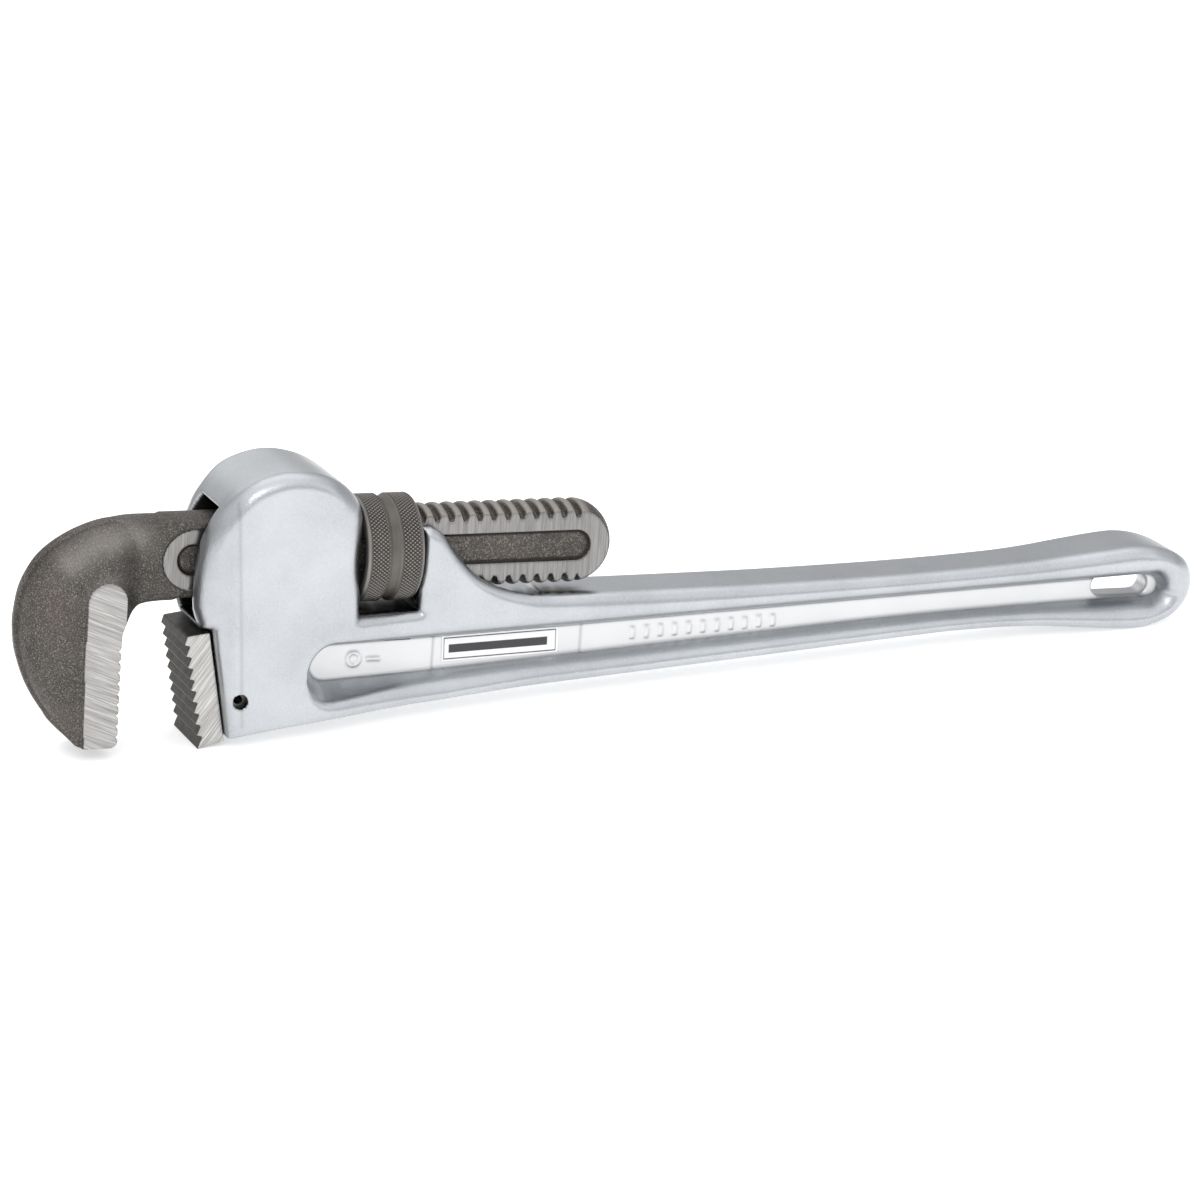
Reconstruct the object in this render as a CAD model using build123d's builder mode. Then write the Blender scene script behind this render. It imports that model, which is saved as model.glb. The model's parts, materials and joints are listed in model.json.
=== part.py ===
from build123d import *
import math
import os

os.makedirs("parts", exist_ok=True)

# Aluminium pipe wrench, standing on its heel jaw's lower corner and its handle end.
# +X runs toward the handle end, +Z is up, and the jaws open toward -X.
# Outlines are drawn in the "side" plane: its x runs along the hook jaw's shank, its y is
# square to the shank, and its origin is the adjusting nut's centre.

# ---- sizes (mm) ----
# hook jaw: shank and thread
shank_thickness = 14.3        # between the two flats
thread_radius = 13.7          # crest
thread_depth = 1.8
thread_pitch = 4.84           # single start, right hand
thread_phase = 1.62           # first groove to the right of the nut's centre
thread_left = -33.0
thread_right = 66.5
groove_crest_half = 1.35      # groove half width at the crest
groove_root_half = 0.55
shank_end = 78.3
shank_left = -80.0            # inside the forged neck
flat_left = -74.1             # left end of the machined flats
pocket_left = -68.9           # long pocket in each flat
pocket_right = 69.6
pocket_height = 9.48
pocket_depth = 1.2

# hook jaw: jaw
jaw_width = 25.3
hook_face = -87.6             # toothed face, square to the shank
hook_tip = -58.6
hook_rim_chamfer = 6.0
tip_radius = 2.2
throat_radius = 7.5
tooth_pitch = 3.5
hook_teeth = 9
hook_tooth_depth = 0.8
heel_teeth = 9
heel_tooth_depth = 1.3
neck_half = 7.6               # half thickness of the forged neck
flare_start = -83.5           # where the neck begins to widen into the jaw
flare_end = -92.0
neck_top = thread_radius - 0.4
rim_points = [(-76, neck_top), (-92.4, 12.4), (-105.1, 7.4), (-114.3, -0.9), (-119.4, -18.5),
              (-114.1, -40.9), (-107.2, -51.4), (-100.4, -58.2)]   # the jaw's outer curve, from the neck
rim_directions = [(-1, 0), (0.7, -0.72)]
notch_half = 0.9              # half width of the notch between two hook teeth

# adjusting nut
nut_wall = 3.54               # over the shank's thread crests
nut_radius = thread_radius + nut_wall
nut_half_width = 9.5
nut_groove_half = 1.4
nut_groove_depth = 0.9
nut_chamfer = 0.8
thread_clearance = 0.35       # between the nut's thread and the shank's

# housing
head_half = 18.75             # half thickness
window_clearance = 0.7        # each side of the nut
window_floor_gap = 0.9        # under the nut
passage_side_gap = 1.35       # each side of the shank
passage_roof_gap = 3.4        # over the shank
passage_floor_gap = 5.9       # under the shank

# heel jaw and its pin
heel_gap = 0.25               # between the heel jaw and its seat
tang_thickness = 12.0
tang_gap = 0.2
pin_x, pin_z = -49.9, -43.6
pin_radius = 2.3
pin_wall = 0.8
pin_slot = 0.9
pin_length = 31.0

# handle
bar_half = 12.0
hump_half = 13.5
bulb_half = 14.0
web_half = 4.0                # half thickness of the web between the flanges
web_draft = 18.0              # slope of the recess walls, degrees
channel_gap = 1.9             # under the shank, behind the nut
channel_right = 52.0
end_x, end_z = 268.0, -21.7   # centre of the handle end's ellipse
end_length = 25.5
end_half_height = 14.5
hang_x, hang_z = 266.5, -22.4
hang_length = 21.0
hang_height = 6.8

# springs
leaf_thickness = 0.8
leaf_width = 10.0
coil_wire = 1.0
coil_radius = 2.9
coil_x = -33.0
coil_turns = 6
coil_pocket_depth = 6.0
coil_pocket_gap = 0.6

# blank label on the web
label_x, label_z = 42.0, -33.1
label_length = 40.0
label_height = 8.4
label_thickness = 0.25

# ---- how the tool stands ----
heel_corner = (-61.3, -60.4)
reach_x = end_x - heel_corner[0]
reach_z = end_z - heel_corner[1]
tilt = 0.0
for _ in range(8):
    end_drop = math.hypot(end_length * math.sin(tilt), end_half_height * math.cos(tilt))
    tilt = math.atan2(reach_z, reach_x) - math.asin(end_drop / math.hypot(reach_x, reach_z))
along = (math.cos(tilt), 0, -math.sin(tilt))
upright = (math.sin(tilt), 0, math.cos(tilt))


# the nut's centre in the finished frame, whose origin is the middle of the footprint
with BuildLine(Plane(origin=(0, 0, 0), x_dir=along, z_dir=(0, -1, 0))) as rim:
    Spline(*rim_points, tangents=rim_directions)
leftmost = rim.line.bounding_box().min.X
rightmost = (end_x * math.cos(tilt) + end_z * math.sin(tilt)
             + math.hypot(end_length * math.cos(tilt), end_half_height * math.sin(tilt)))
nut_x = -(leftmost + rightmost) / 2
nut_z = heel_corner[0] * math.sin(tilt) - heel_corner[1] * math.cos(tilt)
nut_centre = Vector(nut_x, 0, nut_z)

side = Plane(origin=nut_centre, x_dir=along, z_dir=(0, -1, 0))
plan = Plane(origin=nut_centre, x_dir=along, z_dir=upright)
cross = Plane(origin=nut_centre, x_dir=upright, z_dir=along)
shank_axis = Axis(nut_centre, along)
tall = 200.0                  # deeper than the whole tool, for cuts right through


def at(x, z):
    """The point (x, z) of the side plane, in the finished frame."""
    return side.from_local_coords(Vector(x, z, 0))


def groove_half(radius):
    """Half width of the shank's thread groove at a radius."""
    slope = (groove_crest_half - groove_root_half) / thread_depth
    return groove_root_half + slope * (radius - (thread_radius - thread_depth))


def save(piece, name):
    piece.part.label = name
    export_step(piece.part, "parts/" + name + ".step")


# ---- hook jaw ----
lead_slope = thread_pitch / (2 * math.pi * (thread_radius - thread_depth / 2))


def groove_ring(slant):
    """A ring that cuts one groove, turned by the lead angle; slant +1 on top, -1 below."""
    lean = Vector(*along) + Vector(0, 1, 0) * lead_slope * slant
    facing = Vector(*along) * lead_slope * slant - Vector(0, 1, 0)
    outer = thread_radius + 0.8
    root = thread_radius - thread_depth
    with BuildPart() as ring:
        with BuildSketch(Plane(origin=nut_centre, x_dir=lean, z_dir=facing)):
            with BuildLine():
                Polyline((-groove_half(root), slant * root), (groove_half(root), slant * root),
                         (groove_half(outer), slant * outer), (-groove_half(outer), slant * outer),
                         close=True)
            make_face()
        revolve(axis=Axis(nut_centre, lean))
        split(bisect_by=plan, keep=Keep.TOP if slant > 0 else Keep.BOTTOM)
    return ring.part


first_groove = math.ceil((thread_left - thread_phase) / thread_pitch)
last_groove = math.floor((thread_right - thread_phase) / thread_pitch)
groove_places = [thread_phase + thread_pitch * i for i in range(first_groove, last_groove + 1)]
top_ring = groove_ring(1)
bottom_ring = groove_ring(-1)

with BuildPart() as shank:
    with BuildSketch(side):
        with BuildLine():
            Polyline((shank_end - thread_radius, thread_radius), (shank_left, thread_radius),
                     (shank_left, 0), (shank_end, 0))
            RadiusArc((shank_end, 0), (shank_end - thread_radius, thread_radius), -thread_radius)
        make_face()
    revolve(axis=shank_axis)
    with BuildSketch(side):
        Rectangle(tall * 2, tall)
    extrude(amount=shank_thickness / 2, both=True, mode=Mode.INTERSECT)
    with Locations(*[Vector(*along) * x for x in groove_places]):
        add(top_ring, mode=Mode.SUBTRACT)
    with Locations(*[Vector(*along) * (x - thread_pitch / 2) for x in groove_places]):
        add(bottom_ring, mode=Mode.SUBTRACT)
    for face_side in (1, -1):
        with BuildSketch(side.offset(face_side * shank_thickness / 2)):
            with Locations(((pocket_left + pocket_right) / 2, 0)):
                SlotOverall(pocket_right - pocket_left, pocket_height)
        extrude(amount=pocket_depth, both=True, mode=Mode.SUBTRACT)

with BuildPart() as hook_jaw:
    with BuildSketch(side) as hook_outline:
        with BuildLine():
            Spline(*rim_points, tangents=rim_directions)
            Polyline(rim_points[-1], (-98.0, hook_tip), (hook_face, hook_tip), (hook_face, -25.0),
                     (-86.5, -21.5), (-86.5, -neck_top), (flat_left + 1, -neck_top),
                     (flat_left + 1, rim_points[0][1]), rim_points[0])
        make_face()
        fillet(hook_outline.vertices().sort_by_distance((hook_face, hook_tip))[0], radius=tip_radius)
        fillet(hook_outline.vertices().sort_by_distance((-86.5, -neck_top))[0], radius=throat_radius)
    extrude(amount=jaw_width / 2, both=True)
    rim_edges = hook_jaw.edges().filter_by(GeomType.BSPLINE)
    chamfer(rim_edges, length=hook_rim_chamfer)
    with BuildSketch(plan):
        with BuildLine():
            Polyline((-tall, jaw_width / 2), (flare_end, jaw_width / 2), (flare_start, neck_half),
                     (0, neck_half), (0, -neck_half), (flare_start, -neck_half),
                     (flare_end, -jaw_width / 2), (-tall, -jaw_width / 2), close=True)
        make_face()
    extrude(amount=tall / 2, both=True, mode=Mode.INTERSECT)
    with BuildSketch(side):
        for i in range(hook_teeth):
            notch = hook_tip + tooth_pitch * (i + 1)
            with BuildLine():
                Polyline((hook_face + 0.2, notch - notch_half), (hook_face - hook_tooth_depth, notch),
                         (hook_face + 0.2, notch + notch_half), close=True)
            make_face()
    extrude(amount=jaw_width, both=True, mode=Mode.SUBTRACT)
    add(shank.part)
save(hook_jaw, "hook_jaw")

# ---- adjusting nut ----
bore = thread_radius + thread_clearance
ridge_top = thread_radius - thread_depth + thread_clearance
ridge_base = bore + 0.3
ridge_top_half = groove_half(ridge_top) - thread_clearance
ridge_base_half = groove_half(ridge_base) - thread_clearance
ridge_room = nut_half_width - ridge_base_half - 0.1
first_turn = thread_phase - thread_pitch * math.floor((thread_phase + ridge_room) / thread_pitch)

with BuildPart() as ridge:      # made round the Z axis, then laid along the shank
    with BuildLine():
        ridge_path = Helix(pitch=thread_pitch, height=ridge_room - first_turn, radius=ridge_top)
    with BuildSketch(Plane.XZ) as ridge_section:
        with BuildLine():
            Polyline((ridge_top, -ridge_top_half), (ridge_base, -ridge_base_half),
                     (ridge_base, ridge_base_half), (ridge_top, ridge_top_half), close=True)
        make_face()
    sweep(sections=ridge_section.sketch, path=ridge_path, is_frenet=True)

with BuildPart() as adjusting_nut:
    with BuildSketch(side):
        with BuildLine():
            inner = nut_radius - nut_groove_depth
            Polyline((-nut_half_width, bore), (-nut_half_width, nut_radius - nut_chamfer),
                     (-nut_half_width + nut_chamfer, nut_radius),
                     (-nut_groove_half - nut_groove_depth / 2, nut_radius), (-nut_groove_half, inner),
                     (nut_groove_half, inner), (nut_groove_half + nut_groove_depth / 2, nut_radius),
                     (nut_half_width - nut_chamfer, nut_radius),
                     (nut_half_width, nut_radius - nut_chamfer), (nut_half_width, bore), close=True)
        make_face()
    revolve(axis=shank_axis)
    add(ridge.part.moved(cross.offset(first_turn).location))
save(adjusting_nut, "adjusting_nut")

# ---- handle: one casting with the housing, the channel behind the nut and the I-beam ----
window_half = nut_half_width + window_clearance
passage_width = shank_thickness + 2 * passage_side_gap
passage_roof = thread_radius + passage_roof_gap
passage_floor = -thread_radius - passage_floor_gap
window_floor = -nut_radius - window_floor_gap
channel_floor = -thread_radius - channel_gap
heel_back = [(-59.2, -22.2), (-52.6, -58.1)]   # the heel jaw's back face
seat_slope = (heel_back[1][0] - heel_back[0][0]) / (heel_back[1][1] - heel_back[0][1])
lip = -21.2                    # underside of the lip over the heel jaw
head_bottom = -56.4
tang_top, tang_bottom = -25.0, -51.5
tang_right = pin_x + 8.0
web_top = [(-18.5, -30.6), (60.0, -27.9), (150.0, -24.1), (276.0, -18.9)]
web_bottom = [(276.0, -26.2), (170.0, -30.2), (74.0, -36.5), (-17.5, -42.1)]
web_tip = (279.6, -22.55)
web_start = (-23.0, -36.4)
hang_turn = 2.0
label_turn = 2.0


def seat(z):
    """Where the heel jaw's seat is at a height."""
    return heel_back[0][0] + heel_gap + seat_slope * (z - heel_back[0][1])


with BuildSketch() as web_panel:
    with BuildLine():
        Spline(*web_top, tangents=[(1, 0.02), (1, 0.04)])
        ThreePointArc(web_top[-1], web_tip, web_bottom[0])
        Spline(*web_bottom, tangents=[(-1, -0.04), (-1, -0.05)])
        ThreePointArc(web_bottom[-1], web_start, web_top[0])
    make_face()

with BuildPart() as handle:
    with BuildSketch(side):
        with BuildLine():
            Spline((-62.3, lip), (-64.9, -8.0), (-62.2, 8.5), (-57.4, 17.5), (-49.0, 25.9),
                   (-37.0, 29.7), (-26.5, 28.7), (-17.5, 24.3), (-window_half, 16.5))
            Polyline((-window_half, 16.5), (-window_half, window_floor), (window_half, window_floor),
                     (window_half, 8.9), (13.4, 8.9))
            Spline((13.4, 8.9), (17.5, 6.6), (24.0, -2.0), (33.0, -9.8), (46.0, -14.2), (62.0, -15.3),
                   tangents=[(1, 0), (1, 0)])
            Spline((62.0, -15.3), (116.0, -15.2), (190.0, -13.6), (232.0, -11.0),
                   (end_x, end_z + end_half_height), tangents=[(1, 0), (1, 0)])
            EllipticalCenterArc((end_x, end_z), end_length, end_half_height, start_angle=-90,
                                arc_size=180)
            Spline((end_x, end_z - end_half_height), (232.0, -34.5), (185.0, -36.4), (110.0, -42.0),
                   (20.0, -48.8), (seat(head_bottom), head_bottom), tangents=[(-1, 0), (-1, -0.12)])
            Polyline((seat(head_bottom), head_bottom), (seat(lip), lip), (-62.3, lip))
        make_face()
    extrude(amount=head_half + 2, both=True)
    with BuildSketch(plan):
        with BuildLine():
            Spline((-67.0, 9.4), (-64.0, 12.8), (-58.5, 16.4), (-51.0, head_half),
                   tangents=[(0.5, 1), (1, 0.15)])
            Line((-51.0, head_half), (-32.0, head_half))
            Spline((-32.0, head_half), (-12.0, 16.8), (10.0, hump_half), (50.0, bar_half),
                   tangents=[(1, 0), (1, 0)])
            Line((50.0, bar_half), (222.0, bar_half))
            Spline((222.0, bar_half), (252.0, 13.2), (276.0, bulb_half - 0.6), (295.0, 6.5),
                   tangents=[(1, 0), (0.35, -1)])
            Polyline((295.0, 6.5), (295.0, 0), (-67.0, 0), (-67.0, 9.4))
        make_face()
        mirror(about=Plane.XZ)
    extrude(amount=tall / 2, both=True, mode=Mode.INTERSECT)
    # the passage for the shank, the channel behind the nut and the slot for the heel jaw's tang
    with BuildSketch(cross.offset(-window_half + 1)):
        with Locations(((passage_roof + passage_floor) / 2, 0)):
            Rectangle(passage_roof - passage_floor, passage_width)
    extrude(amount=-tall, mode=Mode.SUBTRACT)
    with BuildSketch(cross.offset(window_half - 1)):
        with Locations((channel_floor + tall / 2, 0)):
            Rectangle(tall, passage_width)
    extrude(amount=channel_right - window_half, mode=Mode.SUBTRACT)
    with BuildSketch(side):
        with BuildLine():
            Polyline((-70, tang_top + tang_gap), (tang_right + tang_gap, tang_top + tang_gap),
                     (tang_right + tang_gap, tang_bottom - tang_gap), (-70, tang_bottom - tang_gap),
                     close=True)
        make_face()
    extrude(amount=tang_thickness / 2 + tang_gap, both=True, mode=Mode.SUBTRACT)
    with BuildSketch(side):
        with Locations((pin_x, pin_z)):
            Circle(pin_radius)
    extrude(amount=tall, both=True, mode=Mode.SUBTRACT)
    # the pocket under the shank for the coil spring
    with BuildSketch(plan.offset(passage_floor + 1)):
        with Locations((coil_x, 0)):
            Circle(coil_radius + coil_wire / 2 + coil_pocket_gap)
    extrude(amount=-coil_pocket_depth - 1, mode=Mode.SUBTRACT)
    # recesses either side of the web, with sloping walls, and the slot to hang it by
    wall_spread = (head_half + 1 - web_half) * math.tan(math.radians(web_draft))
    for out in (-1, 1):
        with BuildSketch(side.offset(out * web_half)):
            add(web_panel.sketch_local)
        with BuildSketch(side.offset(out * (head_half + 1))):
            add(web_panel.sketch_local)
            offset(amount=wall_spread)
        loft(mode=Mode.SUBTRACT)
    with BuildSketch(side):
        with Locations(Location((hang_x, hang_z, 0), (0, 0, hang_turn))):
            SlotOverall(hang_length, hang_height)
    extrude(amount=tall, both=True, mode=Mode.SUBTRACT)
save(handle, "handle")

# ---- heel jaw, held in the housing by a slotted pin through its tang ----
heel_front = [(-67.3, -26.0), (-61.1, -59.6)]
with BuildPart() as heel_jaw:
    with BuildSketch(side):
        tooth_x = (heel_front[1][0] - heel_front[0][0]) / heel_teeth
        tooth_z = (heel_front[1][1] - heel_front[0][1]) / heel_teeth
        front = []
        for i in range(heel_teeth):
            x = heel_front[0][0] + tooth_x * i
            z = heel_front[0][1] + tooth_z * i
            front += [(x, z), (x + heel_tooth_depth, z - 0.3)]
        with BuildLine():
            Polyline(*front, heel_front[1], heel_corner, heel_back[1], heel_back[0], (-66.5, -23.2),
                     close=True)
        make_face()
    extrude(amount=jaw_width / 2, both=True)
    with BuildSketch(side):
        with BuildLine():
            Polyline((-62, tang_top), (tang_right, tang_top), (tang_right, tang_bottom),
                     (-57, tang_bottom), close=True)
        make_face()
    extrude(amount=tang_thickness / 2, both=True)
    with BuildSketch(side):
        with Locations((pin_x, pin_z)):
            Circle(pin_radius)
    extrude(amount=tall, both=True, mode=Mode.SUBTRACT)
save(heel_jaw, "heel_jaw")

with BuildPart() as heel_pin:
    with BuildSketch(side):
        with Locations((pin_x, pin_z)):
            Circle(pin_radius)
            Circle(pin_radius - pin_wall, mode=Mode.SUBTRACT)
            with Locations((0, pin_radius)):
                Rectangle(pin_slot, pin_wall * 3, mode=Mode.SUBTRACT)
    extrude(amount=pin_length / 2, both=True)
save(heel_pin, "heel_jaw_pin")

# ---- springs over and under the shank, inside the housing ----
leaf_touch = 0.06
leaf_top = passage_roof - leaf_touch - leaf_thickness / 2
leaf_low = thread_radius + leaf_touch + leaf_thickness / 2
with BuildPart() as flat_spring:
    with BuildSketch(side):
        with BuildLine():
            Line((-17, leaf_top), (-28, leaf_top))
            Spline((-28, leaf_top), (-47, leaf_low), tangents=[(-1, 0), (-1, 0)])
            Spline((-47, leaf_low), (-54, leaf_low + 1.2), tangents=[(-1, 0), (-1, 0.4)])
        trace(line_width=leaf_thickness)
    extrude(amount=leaf_width / 2, both=True)
save(flat_spring, "flat_spring")

coil_bottom = passage_floor - coil_pocket_depth + coil_wire / 2 + leaf_touch
coil_top = -thread_radius - leaf_touch - coil_wire / 2
with BuildPart() as coil_spring:
    with BuildLine(Plane(origin=at(coil_x, coil_bottom), x_dir=(0, 1, 0), z_dir=upright)) as coil_line:
        Helix(pitch=(coil_top - coil_bottom) / coil_turns, height=coil_top - coil_bottom,
              radius=coil_radius)
    with BuildSketch(Plane(origin=coil_line.line @ 0, z_dir=coil_line.line % 0)):
        Circle(coil_wire / 2)
    sweep(is_frenet=True)
save(coil_spring, "coil_spring")

# ---- blank label on the web ----
with BuildPart() as label:
    with BuildSketch(side.offset(web_half + 0.02)):
        with Locations(Location((label_x, label_z, 0), (0, 0, label_turn))):
            RectangleRounded(label_length, label_height, 0.6)
    extrude(amount=label_thickness)
save(label, "label")
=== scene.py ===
import json
import math

import bmesh
import bpy
import numpy as np
import openvdb
from mathutils import Matrix, Vector

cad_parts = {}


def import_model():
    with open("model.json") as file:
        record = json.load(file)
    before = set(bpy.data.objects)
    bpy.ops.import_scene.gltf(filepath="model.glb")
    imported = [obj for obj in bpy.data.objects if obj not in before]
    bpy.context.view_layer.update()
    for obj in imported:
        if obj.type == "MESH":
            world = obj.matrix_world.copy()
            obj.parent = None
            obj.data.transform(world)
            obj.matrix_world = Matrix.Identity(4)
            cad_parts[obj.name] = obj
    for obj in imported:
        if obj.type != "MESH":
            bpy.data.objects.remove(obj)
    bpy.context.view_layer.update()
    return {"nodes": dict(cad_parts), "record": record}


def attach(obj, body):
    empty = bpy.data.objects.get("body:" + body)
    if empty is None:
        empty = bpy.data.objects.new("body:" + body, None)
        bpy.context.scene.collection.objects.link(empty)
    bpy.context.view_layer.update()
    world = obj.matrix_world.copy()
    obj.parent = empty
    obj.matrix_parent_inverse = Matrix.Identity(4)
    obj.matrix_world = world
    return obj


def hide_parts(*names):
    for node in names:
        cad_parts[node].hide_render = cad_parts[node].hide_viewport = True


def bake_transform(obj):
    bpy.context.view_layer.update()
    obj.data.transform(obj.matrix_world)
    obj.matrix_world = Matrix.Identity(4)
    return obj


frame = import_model()

# ---------------------------------------------------------------------------------------
# Frame: outlines are in millimetres in the shank's own axes, as in the CAD model.
# x runs along the shank, y across the tool, z square to both; the origin is the nut's centre.
# ---------------------------------------------------------------------------------------
joints = {j["name"]: j for j in frame["record"]["behaviour"]["joints"]}
NUT_CENTRE = np.array(joints["jaw_rock"]["pos_m"])
ALONG = np.array(joints["jaw_slide"]["axis"], float)
ALONG /= np.linalg.norm(ALONG)
ACROSS = np.array([0.0, 1.0, 0.0])
UPRIGHT = np.cross(ALONG, ACROSS)
MM = 0.001


def world(points):
    """Shank-frame millimetres to frame metres."""
    p = np.asarray(points, float)
    return NUT_CENTRE + MM * (p[..., :1] * ALONG + p[..., 1:2] * ACROSS + p[..., 2:3] * UPRIGHT)


# ---- sizes shared with the CAD model (mm) ----
SHANK_HALF = 7.15
THREAD_R = 13.7
THREAD_DEPTH = 1.8
PITCH = 4.84
PHASE = 1.62
THREAD_LEFT, THREAD_RIGHT = -33.0, 66.5
SHANK_END = 78.3
JAW_HALF = 12.65
HOOK_FACE, HOOK_TIP = -87.6, -58.6
TOOTH_PITCH = 3.5
NUT_R, NUT_HALF = 17.24, 9.5
HEAD_HALF, BAR_HALF = 18.75, 12.0
WINDOW_HALF = 10.2
WINDOW_FLOOR = -18.14
PASSAGE_HALF = 8.5
PASSAGE_ROOF, PASSAGE_FLOOR = 17.1, -19.6
CHANNEL_FLOOR, CHANNEL_RIGHT = -15.6, 52.0
WEB_HALF = 4.0
WEB_DRAFT = math.radians(18)
END_X, END_Z, END_LENGTH, END_HALF_HEIGHT = 268.0, -21.7, 25.5, 14.5
PIN_X, PIN_Z, PIN_R = -49.9, -43.6, 2.3
LIP = -21.2

# ---- sizes of details (mm); the heel's teeth are deeper here than in the CAD model ----
# each slot is its left end, right end, height and half width
HANG_SLOT = (256.0, 277.0, -22.4, 3.4)
FLAT_SLOT = (-74.1, 120.0, 0.0, 10.0)
POCKET_SLOT = (-68.9, 69.6, 0.0, 4.74)
POCKET_DEPTH = 1.2
WEB_STEP_X, WEB_STEP_HALF = 44.4, 25.5          # the web's raised middle: its centre and half length
COIL_X, COIL_R, COIL_TURNS, WIRE_R = -33.0, 2.9, 6, 0.5
COIL_POCKET_DEPTH = 6.0
LEAF_HALF_WIDTH, LEAF_HALF_THICK = 5.0, 0.4
NUT_BORE_R = 14.05
KNURL_COUNT, KNURL_DEPTH = 84, 0.46
HEEL_TOP, HEEL_BOTTOM = (-67.3, -26.0), (-61.1, -59.6)
HEEL_TEETH, HEEL_TOOTH = 9, (1.85, -0.5)
LABEL_X, LABEL_Z, LABEL_TURN = 42.0, -33.1, math.radians(2.0)
LABEL_HALF_LENGTH, LABEL_HALF_HEIGHT = 20.0, 4.2
LABEL_FRONT, LABEL_BACK = 4.27, 4.02


# ---------------------------------------------------------------------------------------
# Curves and signed distances
# ---------------------------------------------------------------------------------------
def smooth_curve(points, per_span=14, start=None, end=None):
    """A Catmull-Rom curve through the points, as an array of points."""
    p = np.array(points, float)
    first = p[0] - (np.array(start, float) if start is not None else p[1] - p[0])
    last = p[-1] + (np.array(end, float) if end is not None else p[-1] - p[-2])
    q = np.vstack([first, p, last])
    out = []
    for i in range(1, len(q) - 2):
        for t in np.linspace(0, 1, per_span, endpoint=False):
            a, b, c, d = q[i - 1], q[i], q[i + 1], q[i + 2]
            out.append(0.5 * (2 * b + (c - a) * t + (2 * a - 5 * b + 4 * c - d) * t * t
                              + (3 * b - a - 3 * c + d) * t ** 3))
    out.append(p[-1])
    return np.array(out)


def arc(centre, radii, start_deg, end_deg, count=24):
    t = np.radians(np.linspace(start_deg, end_deg, count))
    return np.c_[centre[0] + radii[0] * np.cos(t), centre[1] + radii[1] * np.sin(t)]


def line_distance(x, z, line, closed=False):
    """Unsigned distance from grid points (x, z) to a polyline."""
    pts = np.vstack([line, line[:1]]) if closed else np.asarray(line)
    best = np.full(np.broadcast(x, z).shape, 1e9)
    for (ax, az), (bx, bz) in zip(pts[:-1], pts[1:]):
        dx, dz = bx - ax, bz - az
        length2 = dx * dx + dz * dz
        if length2 < 1e-12:
            continue
        t = np.clip(((x - ax) * dx + (z - az) * dz) / length2, 0, 1)
        best = np.minimum(best, (x - ax - t * dx) ** 2 + (z - az - t * dz) ** 2)
    return np.sqrt(best)


def outline_distance(x, z, outline):
    """Signed distance to a closed outline, negative inside."""
    inside = np.zeros(np.broadcast(x, z).shape, bool)
    pts = np.vstack([outline, outline[:1]])
    for (ax, az), (bx, bz) in zip(pts[:-1], pts[1:]):
        if az == bz:
            continue
        crosses = ((az > z) != (bz > z)) & (x < (bx - ax) * (z - az) / (bz - az) + ax)
        inside ^= crosses
    d = line_distance(x, z, outline, closed=True)
    return np.where(inside, -d, d)


def box_distance(x, z, x0, x1, z0, z1):
    dx = np.abs(x - (x0 + x1) / 2) - (x1 - x0) / 2
    dz = np.abs(z - (z0 + z1) / 2) - (z1 - z0) / 2
    return np.hypot(np.maximum(dx, 0), np.maximum(dz, 0)) + np.minimum(np.maximum(dx, dz), 0)


def slot_distance(x, z, x0, x1, cz, half):
    """A slot with round ends, from x0 to x1."""
    px = np.clip(x, x0 + half, x1 - half)
    return np.hypot(x - px, z - cz) - half


def both(a, b, radius):
    """Intersection with a rounded outer edge."""
    u, v = np.maximum(a + radius, 0), np.maximum(b + radius, 0)
    return np.minimum(np.maximum(a + radius, b + radius), 0) + np.hypot(u, v) - radius


def soft_max(a, b, width):
    h = np.clip(0.5 - 0.5 * (b - a) / width, 0, 1)
    return b + (a - b) * h + width * h * (1 - h)


def soft_min(a, b, width):
    return -soft_max(-a, -b, width)


def step_between(value, low, high):
    t = np.clip((value - low) / (high - low), 0, 1)
    return t * t * (3 - 2 * t)


def blur(values, count):
    """Smooths a sampled 1-D curve."""
    kernel = np.hanning(count + 2)[1:-1]
    kernel /= kernel.sum()
    padded = np.pad(values, count // 2, mode="edge")
    return np.convolve(padded, kernel, mode="valid")[: len(values)]


class Field:
    """A box of samples, as broadcastable x, y, z arrays in shank millimetres."""

    def __init__(self, low, high, step):
        self.low, self.step = np.array(low, float), step
        n = [int(math.ceil((h - l) / step)) + 1 for l, h in zip(low, high)]
        ax = [low[i] + step * np.arange(n[i]) for i in range(3)]
        self.x = ax[0][:, None, None]
        self.y = ax[1][None, :, None]
        self.z = ax[2][None, None, :]
        self.x2, self.z2 = ax[0][:, None], ax[2][None, :]

    def flat(self, values):
        """2-D (x, z) samples, ready to mix with y."""
        return values[:, None, :]

    def mesh(self, name, distance):
        reach = 3 * self.step
        grid = openvdb.FloatGrid(reach)
        grid.copyFromArray(np.clip(distance, -reach, reach).astype(np.float32))
        points, quads = grid.convertToQuads(isovalue=0.0)
        points = self.low + points * self.step
        corners = points[quads]
        across_1, across_2 = corners[:, 2] - corners[:, 0], corners[:, 3] - corners[:, 1]
        outward = np.einsum("ij,ij->i", np.cross(across_1, across_2), corners.mean(1)).sum()
        if outward < 0:
            quads = quads[:, ::-1]
        return make_mesh(name, world(points), quads)


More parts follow.
